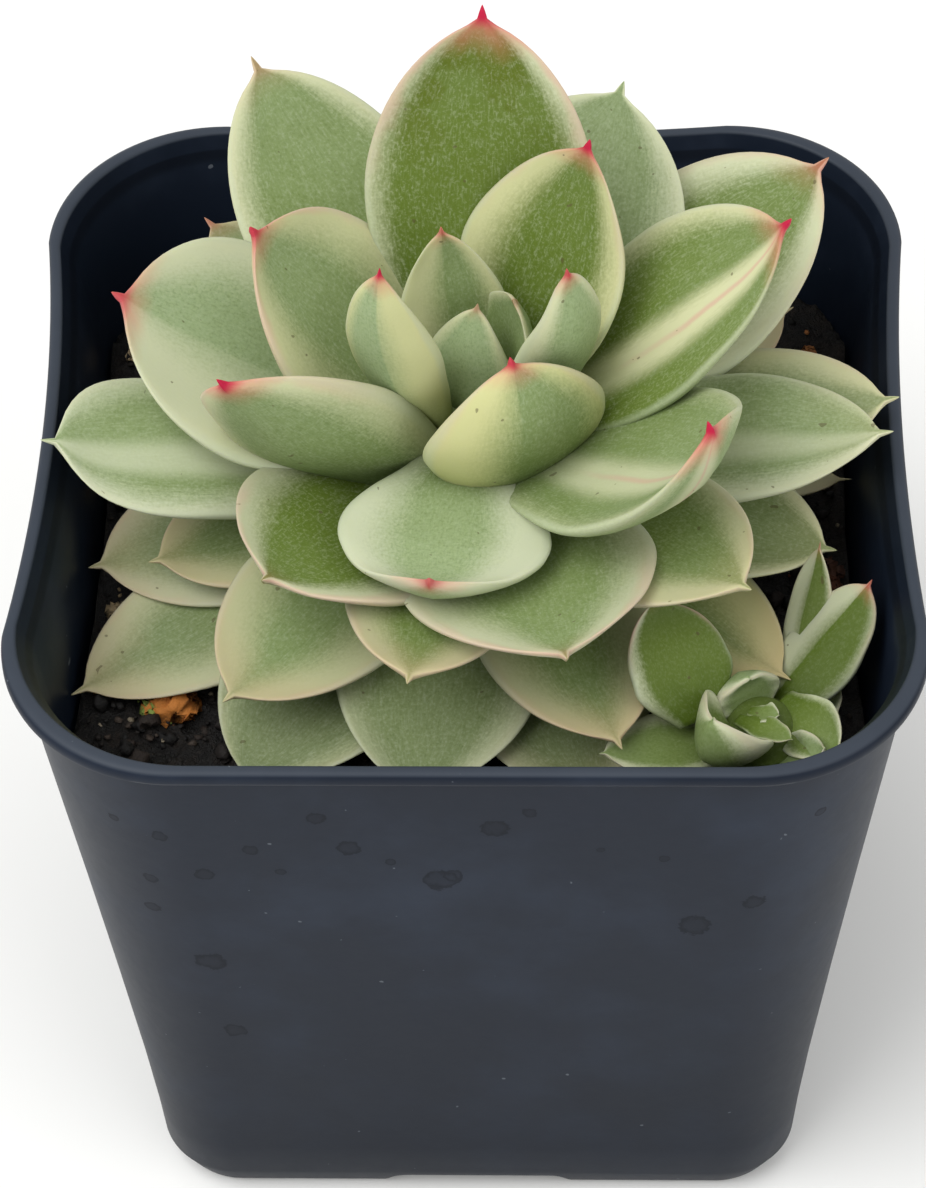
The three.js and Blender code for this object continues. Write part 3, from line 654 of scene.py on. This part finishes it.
oldLook = {"blush": 0, "peach": 0.4, "grey": 0.5, "tan": 0.5, "soft": 0.5}  # for hidden lower leaves
markings = {  # which markings each colour attribute of the leaves holds
    "variegation": ("left", "right", "stripe", "yellow"),
    "tint": ("blush", "peach", "grey", "pink"),
    "cast": ("pale", "olive", "tan", "soft"),
}


def leafLayers(mesh):
    floats, colours = mesh.verts.layers.float, mesh.verts.layers.float_color
    layers = {name: floats.new(name) for name in ("along", "across", "topSide", "seed")}
    layers.update({name: colours.new(name) for name in markings})
    return layers


def leafSpine(leaf, rings):  # for each ring of the leaf: its share of the length, place and directions
    turn = math.radians(leaf["turn"])
    roll = math.radians(leaf.get("roll", 0))
    power = leaf.get("curlPower", leafForm["curlPower"])
    side = Vector((math.sin(turn), -math.cos(turn), 0))
    point = Vector((leaf["x"], leaf["y"], leaf["z"]))
    spine = []
    reached = 0
    steps = 12

    def headingAt(u):
        pitch = math.radians(leaf["rise"] + leaf["curl"] * u ** power)
        flat = math.cos(pitch)
        return Vector((flat * math.cos(turn), flat * math.sin(turn), math.sin(pitch)))

    for ring in range(rings + 1):
        even = min(max((ring - 1) / (rings - 1), 0), 1)
        u = 1 - (1 - even) ** 1.5
        for step in range(steps):
            point = point + headingAt(reached + (step + 0.5) / steps * (u - reached)) * (
                leaf["length"] * (u - reached) / steps
            )
        reached = u
        heading = headingAt(u)
        normal = side.cross(heading)
        across = side * math.cos(roll) + normal * math.sin(roll)
        up = normal * math.cos(roll) - side * math.sin(roll)
        spine.append((u, point, across, up))
    return spine


def leafOutline(leaf, u):  # half width and thickness at a share of the length
    form = leafForm
    t = min(u / (1 - form["point"]), 1)
    nearWidest = min(t / leaf.get("widest", form["widest"]), 1)
    swelling = form["neck"] + (1 - form["neck"]) * math.sin(math.pi / 2 * nearWidest) ** 1.3
    body = swelling * (1 - t ** leaf["fullness"]) ** form["bluntness"]
    tip = form["pointWidth"] * min((1 - u) / (2.2 * form["point"]), 1) ** 0.8 * smoothstep(0.6, 0.95, u)
    half = math.hypot(body, tip) * leaf["width"] / 2
    belly = 0.62 + 0.38 * math.sin(math.pi * min(u / 0.9, 1))
    thick = min(leaf["thickness"] * belly * (1 - 0.72 * smoothstep(0.55, 1, u)), 1.8 * half + 0.02)
    return half, thick


def addLeaf(mesh, layers, leaf, lean):  # a sphere drawn out along the curling midrib
    form = leafForm
    rings = form["rings"]
    spine = leafSpine(leaf, rings)
    outline = [leafOutline(leaf, part[0]) for part in spine]
    cup, ridge = leaf.get("cup", form["cup"]), leaf.get("ridge", 0)
    painted = {name: [leaf["look"][key] for key in keys] for name, keys in markings.items()}
    ball = bmesh.ops.create_uvsphere(mesh, u_segments=form["segments"], v_segments=rings, radius=1)
    for vert in ball["verts"]:
        ring = round(math.acos(min(max(vert.co.z, -1), 1)) / math.pi * rings)
        atPole = ring in (0, rings)
        angle = math.atan2(vert.co.y, vert.co.x)
        q = 0 if atPole else math.cos(angle)
        h = 0 if atPole else abs(math.sin(angle))
        above = math.sin(angle) >= 0
        u, point, across, up = spine[ring]
        half, thick = outline[ring]
        share = form["upperShare"] if above else form["upperShare"] - 1
        middle = (cup * (q * q - 0.2) + ridge * (0.5 - abs(q))) * half * smoothstep(0, 0.3, u)
        keel = 0 if above else form["keel"] * smoothstep(0.45, 0.85, u) * thick * (1 - abs(q)) ** 2
        place = point
        if not atPole:
            place = point + across * (half * q) + up * (middle + thick * share * h ** 0.9 - keel)
        stray = noise.noise(place * 0.16 + Vector((leaf["seed"] * 40, 0, 0)))
        ripple = noise.noise(Vector((u * 5, q * 1.5, leaf["seed"] * 60))) * abs(q) ** 2
        waviness = form["wave"] * 2 * smoothstep(0, 0.4, u) * (1 - smoothstep(0.9, 1, u))
        place = place + up * ((stray + ripple) * waviness)
        vert.co = lean @ place * mm
        vert[layers["along"]] = u
        vert[layers["across"]] = q
        vert[layers["topSide"]] = h if above else -h
        vert[layers["seed"]] = leaf["seed"]
        for name, values in painted.items():
            vert[layers[name]] = values


leafPaint = {
    # deep also paints the shade at the leaves' bases
    "deep": paint(74, 93, 22),
    "green": paint(98, 117, 46),
    "olive": paint(92, 106, 30),
    "sage": paint(150, 167, 124),
    "grey": paint(110, 118, 84),
    "bloom": paint(180, 190, 160),
    "cream": paint(198, 203, 174),
    "yellow": paint(200, 198, 140),
    "tan": paint(170, 170, 128),
    "peach": paint(194, 166, 128),
    "pink": paint(202, 150, 140),
    "crimson": paint(180, 26, 62),
    "rust": paint(196, 118, 100),
    "speck": paint(86, 76, 48),
    "roughness": 0.52,
}


def leafSkin(name, sageShare, frost):  # frost is how strongly the fine pale flecks show
    flesh = {"Subsurface Weight": 0.12, "Subsurface Scale": 1.0 * mm, "Subsurface Radius": (1.0, 1.1, 0.4)}
    shader = Shader(name, dict(flesh, **{"IOR": 1.4, "Specular IOR Level": 0.28}))
    place = shader.objectPlace()
    along, across = shader.attribute("along"), shader.attribute("across")
    topSide, seed = shader.attribute("topSide"), shader.attribute("seed")
    left, right, stripe, yellow = shader.fourValues("variegation")
    blush, peach, grey, pink = shader.fourValues("tint")
    pale, olive, tan, soft = shader.fourValues("cast")
    grain = shader.noise(shader.vector(across * 44, along * 30, seed * 50), 1.0, 4.0, 0.6)
    broad = shader.noise(shader.vector(across * 1.5, along * 2.2, seed * 50), 1.0, 2.0)
    mottle = shader.noise(place, 4300, 2.0, 0.6)
    cloud = shader.noise(place, 230, 3.0, 0.6)
    edge = abs(across)

    # Deeper green at the base: partly the leaf's own, partly painted shade of the leaves above
    pastDarkBase = shader.smooth(along + (broad - 0.5) * 0.3, 0.05, 0.5)
    core = shader.blend(pastDarkBase, leafPaint["deep"], leafPaint["green"])
    lighter = shader.smooth(along + (cloud - 0.5) * 0.4, 0.3, 1.0) * 0.3 + pale * 0.75
    lighter = lighter + shader.smooth(topSide, 0.1, -0.6) * 0.15
    core = shader.blend(lighter * sageShare * shader.smooth(along, 0.0, 0.35), core, leafPaint["sage"])
    core = shader.blend(grey * 0.7, core, leafPaint["grey"])
    darkPatch = shader.smooth(cloud, 0.46, 0.62) * olive * shader.smooth(along, 0.5, 0.8)
    core = shader.blend(darkPatch, core, leafPaint["olive"])
    core = shader.blend(pale * -0.8, core, leafPaint["deep"])
    core = shader.blend(shader.smooth(grain, 0.5, 0.72) * (0.2 * frost), core, leafPaint["bloom"])
    core = shader.blend(shader.smooth(grain, 0.5, 0.3) * 0.18, core, leafPaint["deep"])
    core = shader.blend(shader.smooth(mottle, 0.5, 0.68) * (0.18 * frost), core, leafPaint["bloom"])
    core = shader.blend(shader.smooth(mottle, 0.48, 0.3) * 0.2, core, leafPaint["deep"])

    cream = shader.blend(yellow, leafPaint["cream"], leafPaint["yellow"])
    cream = shader.blend(tan, cream, leafPaint["tan"])
    whichSide = shader.smooth(across, -0.1, 0.1)
    width = left + (right - left) * whichSide
    tipward = shader.smooth(along, 0.66, 0.98) * 0.2 + shader.smooth(along, 0.3, 0.9) * tan * 0.36
    reach = edge + tipward + (broad - 0.5) * 0.22 + (grain - 0.5) * 0.14 + (mottle - 0.5) * 0.16
    spread = 0.16 + width * 0.3 + soft * 0.3
    margin = shader.smooth(reach, 1 - width - spread, 1 - width + spread * 0.6)
    margin = margin * (0.35 + shader.smooth(along, 0.02, 0.4) * 0.55) * shader.smooth(width, 0.02, 0.1)
    colour = shader.blend(margin, core, cream)
    stripeSide = across - stripe * 0.28  # the stripe lies a little to the right, or to the left below 0
    band = shader.smooth(abs(stripeSide) + (grain - 0.5) * 0.16 + (broad - 0.5) * 0.16, 0.38, 0.08)
    band = band * abs(stripe) * shader.smooth(along, 0.15, 0.45)
    colour = shader.blend(band, colour, cream)
    wander = (shader.noise(shader.vector(along * 7, seed * 9, 0.0), 1.0) - 0.5) * 0.08
    rib = shader.smooth(abs(stripeSide + wander), 0.06, 0.005) * stripe * blush
    rib = rib * shader.smooth(along + (broad - 0.5) * 0.4, 0.3, 0.6)
    colour = shader.blend(rib * 0.55, colour, leafPaint["pink"])

    lip = shader.smooth(edge + (cloud - 0.5) * 0.06, 0.9, 0.98) * shader.smooth(along, 0.1, 0.5)
    colour = shader.blend(lip * 0.5, colour, leafPaint["bloom"])
    flush = shader.smooth(edge + (cloud - 0.5) * 0.3, 0.82, 1.0) * shader.smooth(along, 0.45, 0.85)
    colour = shader.blend(flush * pink * 0.7, colour, leafPaint["pink"])
    warmTip = shader.smooth(along + edge * 0.08 + (cloud - 0.5) * 0.16, 0.74, 1.02) * peach
    colour = shader.blend(warmTip * 0.6, colour, leafPaint["peach"])
    smear = shader.smooth(along + (broad - 0.5) * 0.08 + (cloud - 0.5) * 0.06, 0.86, 0.975)
    colour = shader.blend(smear * blush * 0.75, colour, leafPaint["rust"])
    red = shader.smooth(along + (grain - 0.5) * 0.02 + (cloud - 0.5) * 0.03, 0.93, 0.972)
    colour = shader.blend(red * blush, colour, leafPaint["crimson"])
    specks = shader.smooth(shader.noise(place, 1700, 0.0), 0.84, 0.86)
    colour = shader.blend(specks * 0.6, colour, leafPaint["speck"])

    shine = leafPaint["roughness"] + (grain - 0.5) * 0.12 + margin * 0.05
    height = grain * 0.5 + mottle * 0.5
    return shader.feed(baseColor=colour, roughness=shine, normal=shader.bump(height, 0.03 * mm, 0.4))


def rosetteLeaf(age):
    own = grown.get(age, {})
    length = alongCurve(byAge["length"], age) * own.get("length", 1)
    turn = firstLeafTurn - goldenAngle * age + own.get("turn", 0)
    reach = own.get("reach", alongCurve(byAge["reach"], age))
    leaf = {
        "turn": turn,
        "rise": alongCurve(byAge["rise"], age) + own.get("rise", 0),
        "length": length,
        "width": length * alongCurve(byAge["slimness"], age) * own.get("width", 1),
        "curl": own.get("curl", alongCurve(byAge["curl"], age)),
        "thickness": alongCurve(byAge["thickness"], age),
        "fullness": own.get("fullness", alongCurve(byAge["fullness"], age)),
        "x": stem["x"] + reach * math.cos(math.radians(turn)),
        "y": stem["y"] + reach * math.sin(math.radians(turn)),
        "z": own.get("baseHeight", alongCurve(byAge["baseHeight"], age)),
        "seed": (age * 0.618) % 1,
        "look": dict(plainLook, **looks.get(age, oldLook if age > 20 else {})),
    }
    leaf.update({key: own[key] for key in ("roll", "cup", "curlPower") if key in own})
    return leaf


def addStem(mesh, layers, profile, x, y, lean):  # it comes before the leaves, so the mesh is the stem alone
    points = [Vector((x + radius, y, z)) for radius, z in profile]
    verts = [mesh.verts.new(point) for point in points]
    edges = [mesh.edges.new(pair) for pair in zip(verts, verts[1:])]
    geom = verts + edges
    bmesh.ops.spin(
        mesh, geom=geom, cent=(x, y, 0), axis=(0, 0, 1), angle=2 * math.pi, steps=32, use_merge=True
    )
    bmesh.ops.remove_doubles(mesh, verts=mesh.verts[:], dist=1e-4)
    for vert in mesh.verts:
        vert.co = lean @ vert.co * mm
        vert[layers["seed"]] = 0.5
        for name, keys in markings.items():
            vert[layers[name]] = [0.3 if key == "grey" else 0 for key in keys]


leanPoint = Matrix.Translation((stem["x"], stem["y"], stem["leanHeight"]))
leanForward = leanPoint @ Matrix.Rotation(math.radians(stem["leanDegrees"]), 4, "X") @ leanPoint.inverted()


def makeRosette():
    mesh = bmesh.new()
    layers = leafLayers(mesh)
    radius = stem["radius"]
    profile = [(0, stem["footZ"]), (radius * 0.8, stem["footZ"]), (radius, stem["footZ"] + 1), (radius, 53)]
    profile += [(radius + 1.4, 56), (radius + 1.6, 59), (radius + 0.8, 62.5), (radius - 0.6, 65), (0, 66)]
    addStem(mesh, layers, profile, stem["x"], stem["y"], leanForward)
    for age in range(leafCount):
        addLeaf(mesh, layers, rosetteLeaf(age), leanForward)
    skin = leafSkin("rosetteSkin", sageShare=1.0, frost=1.0)
    return pieceFrom(mesh, "rosette_leaves", skin, ["rosette"])


# Offset: the small head in the front right corner, lowest leaf first
offset = {"x": 20.6, "y": -21.4, "radius": 1.7, "footZ": 46.2, "thickness": 0.3, "fullness": 4.2}
offsetLeaves = [
    {"turn": 75, "rise": 34, "length": 14.5, "width": 4.2, "curl": 36, "ridge": 0.3, "roll": 26,
        "reach": 2.7, "baseTurn": 48, "z": 50.6},
    {"turn": 35, "rise": 33, "length": 13.6, "width": 6.8, "curl": 28, "ridge": 0.3, "reach": 2.6,
        "baseTurn": 92, "z": 51.2},
    {"turn": 118, "rise": 36, "length": 9.2, "width": 7.9, "curl": 4, "widest": 0.4, "roll": -4,
        "reach": 4.3, "baseTurn": 183, "z": 55.2},
    {"turn": 192, "rise": 5, "length": 9.9, "width": 6.2, "curl": 8, "reach": 1.8, "z": 52.8},
    {"turn": 225, "rise": 0, "length": 5.6, "width": 4.0, "curl": 10, "reach": 1.2, "z": 51.4},
    {"turn": 38, "rise": 4, "length": 6.3, "width": 3.6, "curl": 20, "reach": 1.4, "z": 51.8},
    {"turn": 224, "rise": 34, "length": 7.2, "width": 7.0, "curl": 60, "cup": 0.8, "reach": 1.3, "z": 53.6},
    {"turn": 346, "rise": 18, "length": 5.8, "width": 4.8, "curl": 50, "cup": 0.5, "roll": -12,
        "reach": 2.4, "baseTurn": 270, "z": 52.8},
    {"turn": -56, "rise": 4, "length": 6.6, "width": 5.2, "curl": 10, "cup": 0.4, "roll": -30,
        "reach": 2.5, "baseTurn": 52, "z": 54.6},
    {"turn": 118, "rise": 48, "length": 4.8, "width": 5.8, "curl": 90, "reach": 1.4, "z": 53.3},
    {"turn": -37, "rise": 10, "length": 4.8, "width": 2.4, "curl": 10, "reach": 1.7,
        "baseTurn": 190, "z": 55.5},
    {"turn": -25, "rise": 10, "length": 2.4, "width": 2.0, "curl": 20, "reach": 0.9,
        "baseTurn": 165, "z": 55.7},
]
offsetLook = dict(plainLook, left=0.12, right=0.14, yellow=0.1, blush=0, pink=0.3, pale=0.3)
offsetLooks = {
    # Keeled leaves 0 and 1: wide left margin partly painted light, pale below 0 painted shade
    0: {"left": 0.7, "right": 0.08, "blush": 0.3, "grey": 0.3, "pale": -0.3, "soft": 0.2},
    1: {"left": 0.7, "right": 0.06, "blush": 0.5, "pale": -0.8, "soft": 0.2},
    2: {"left": 0.1, "right": 0.04, "blush": 0.15, "pink": 0.8, "pale": -0.2, "soft": 0.1},
    3: {"right": 0.24, "pale": 0.3, "tan": 0.2},
    5: {"grey": 0.9, "pale": 0},
    6: {"left": 0.16, "right": 0.16, "yellow": 0.2, "pale": 0.2},
    7: {"right": 0.3, "pale": 0.8},
    8: {"left": 0.1, "right": 0.1, "pale": 0},
    9: {"left": 0.2, "pale": 0.7},
    10: {"left": 0.06, "right": 0.06, "pale": 0},
}


def makeOffset():
    mesh = bmesh.new()
    layers = leafLayers(mesh)
    radius = offset["radius"]
    profile = [(0, offset["footZ"]), (radius, offset["footZ"]), (radius, 51), (radius + 1.3, 52.8)]
    profile += [(radius + 1.3, 54), (1.8, 55.4), (0, 55.8)]
    upright = Matrix.Identity(4)
    addStem(mesh, layers, profile, offset["x"], offset["y"], upright)
    for order, own in enumerate(offsetLeaves):
        turn = math.radians(own.get("baseTurn", own["turn"]))
        leaf = dict(
            own,
            thickness=own["width"] * offset["thickness"],
            fullness=offset["fullness"],
            x=offset["x"] + own["reach"] * math.cos(turn),
            y=offset["y"] + own["reach"] * math.sin(turn),
            seed=(order * 0.382 + 0.2) % 1,
            look=dict(offsetLook, **offsetLooks.get(order, {})),
        )
        addLeaf(mesh, layers, leaf, upright)
    skin = leafSkin("offsetSkin", sageShare=0.7, frost=0.35)
    return pieceFrom(mesh, "offset_leaves", skin, ["offset_rosette"])


makeRosette()
makeOffset()
print("leaves made")

# Studio: pale floor, soft light, and the camera at the photograph's angle
studio = {
    "azimuth": 2.36,
    "elevation": 49.1,
    "roll": -1.71,
    "distance": 313.3,
    "target": (-0.81, 0, 43.66),
    "focalPixels": 4166,
    "imageHeight": 1188,
    "sensor": 36,
    "worldStrength": 0.75,
    "keyWatts": 5.0,
    "fillWatts": 1.6,
}


def makeFloor():
    mesh = bmesh.new()
    bmesh.ops.create_grid(mesh, x_segments=1, y_segments=1, size=3)
    data = bpy.data.meshes.new("floor")
    mesh.to_mesh(data)
    mesh.free()
    shader = Shader("paleFloor", {"Base Color": paint(238, 238, 236), "Roughness": 0.9})
    data.materials.append(shader.material)
    floor = bpy.data.objects.new("floor", data)
    bpy.context.scene.collection.objects.link(floor)


def addSoftLight(name, place, size, watts):
    light = bpy.data.lights.new(name, "AREA")
    light.energy = watts
    light.size = size
    lamp = bpy.data.objects.new(name, light)
    lamp.location = place
    lamp.rotation_euler = (Vector((0, 0, 0.05)) - Vector(place)).to_track_quat("-Z", "Y").to_euler()
    bpy.context.scene.collection.objects.link(lamp)


def makeCamera():
    azimuth, elevation, roll = [math.radians(studio[key]) for key in ("azimuth", "elevation", "roll")]
    flat = math.cos(elevation)
    back = Vector((math.sin(azimuth) * flat, -math.cos(azimuth) * flat, math.sin(elevation)))
    level = Vector((math.cos(azimuth), math.sin(azimuth), 0))
    upright = back.cross(level)
    right = level * math.cos(roll) + upright * math.sin(roll)
    up = upright * math.cos(roll) - level * math.sin(roll)
    camera = bpy.data.cameras.new("camera")
    camera.sensor_width = studio["sensor"]
    camera.lens = studio["focalPixels"] * studio["sensor"] / studio["imageHeight"]
    camera.clip_start = 0.01
    holder = bpy.data.objects.new("camera", camera)
    turned = Matrix((right, up, back)).transposed().to_4x4()
    place = (Vector(studio["target"]) + back * studio["distance"]) * mm
    holder.matrix_world = Matrix.Translation(place) @ turned
    bpy.context.scene.collection.objects.link(holder)
    bpy.context.scene.camera = holder


makeFloor()
addSoftLight("key", (-0.35, -0.25, 0.75), 0.6, studio["keyWatts"])
addSoftLight("fill", (0.5, -0.45, 0.4), 0.6, studio["fillWatts"])
makeCamera()
world = bpy.data.worlds.new("softWorld")
world.use_nodes = True
world.node_tree.nodes["Background"].inputs["Color"].default_value = (1, 1, 1, 1)
world.node_tree.nodes["Background"].inputs["Strength"].default_value = studio["worldStrength"]
bpy.context.scene.world = world
bpy.context.scene.view_settings.view_transform = "Standard"
print("studio made")
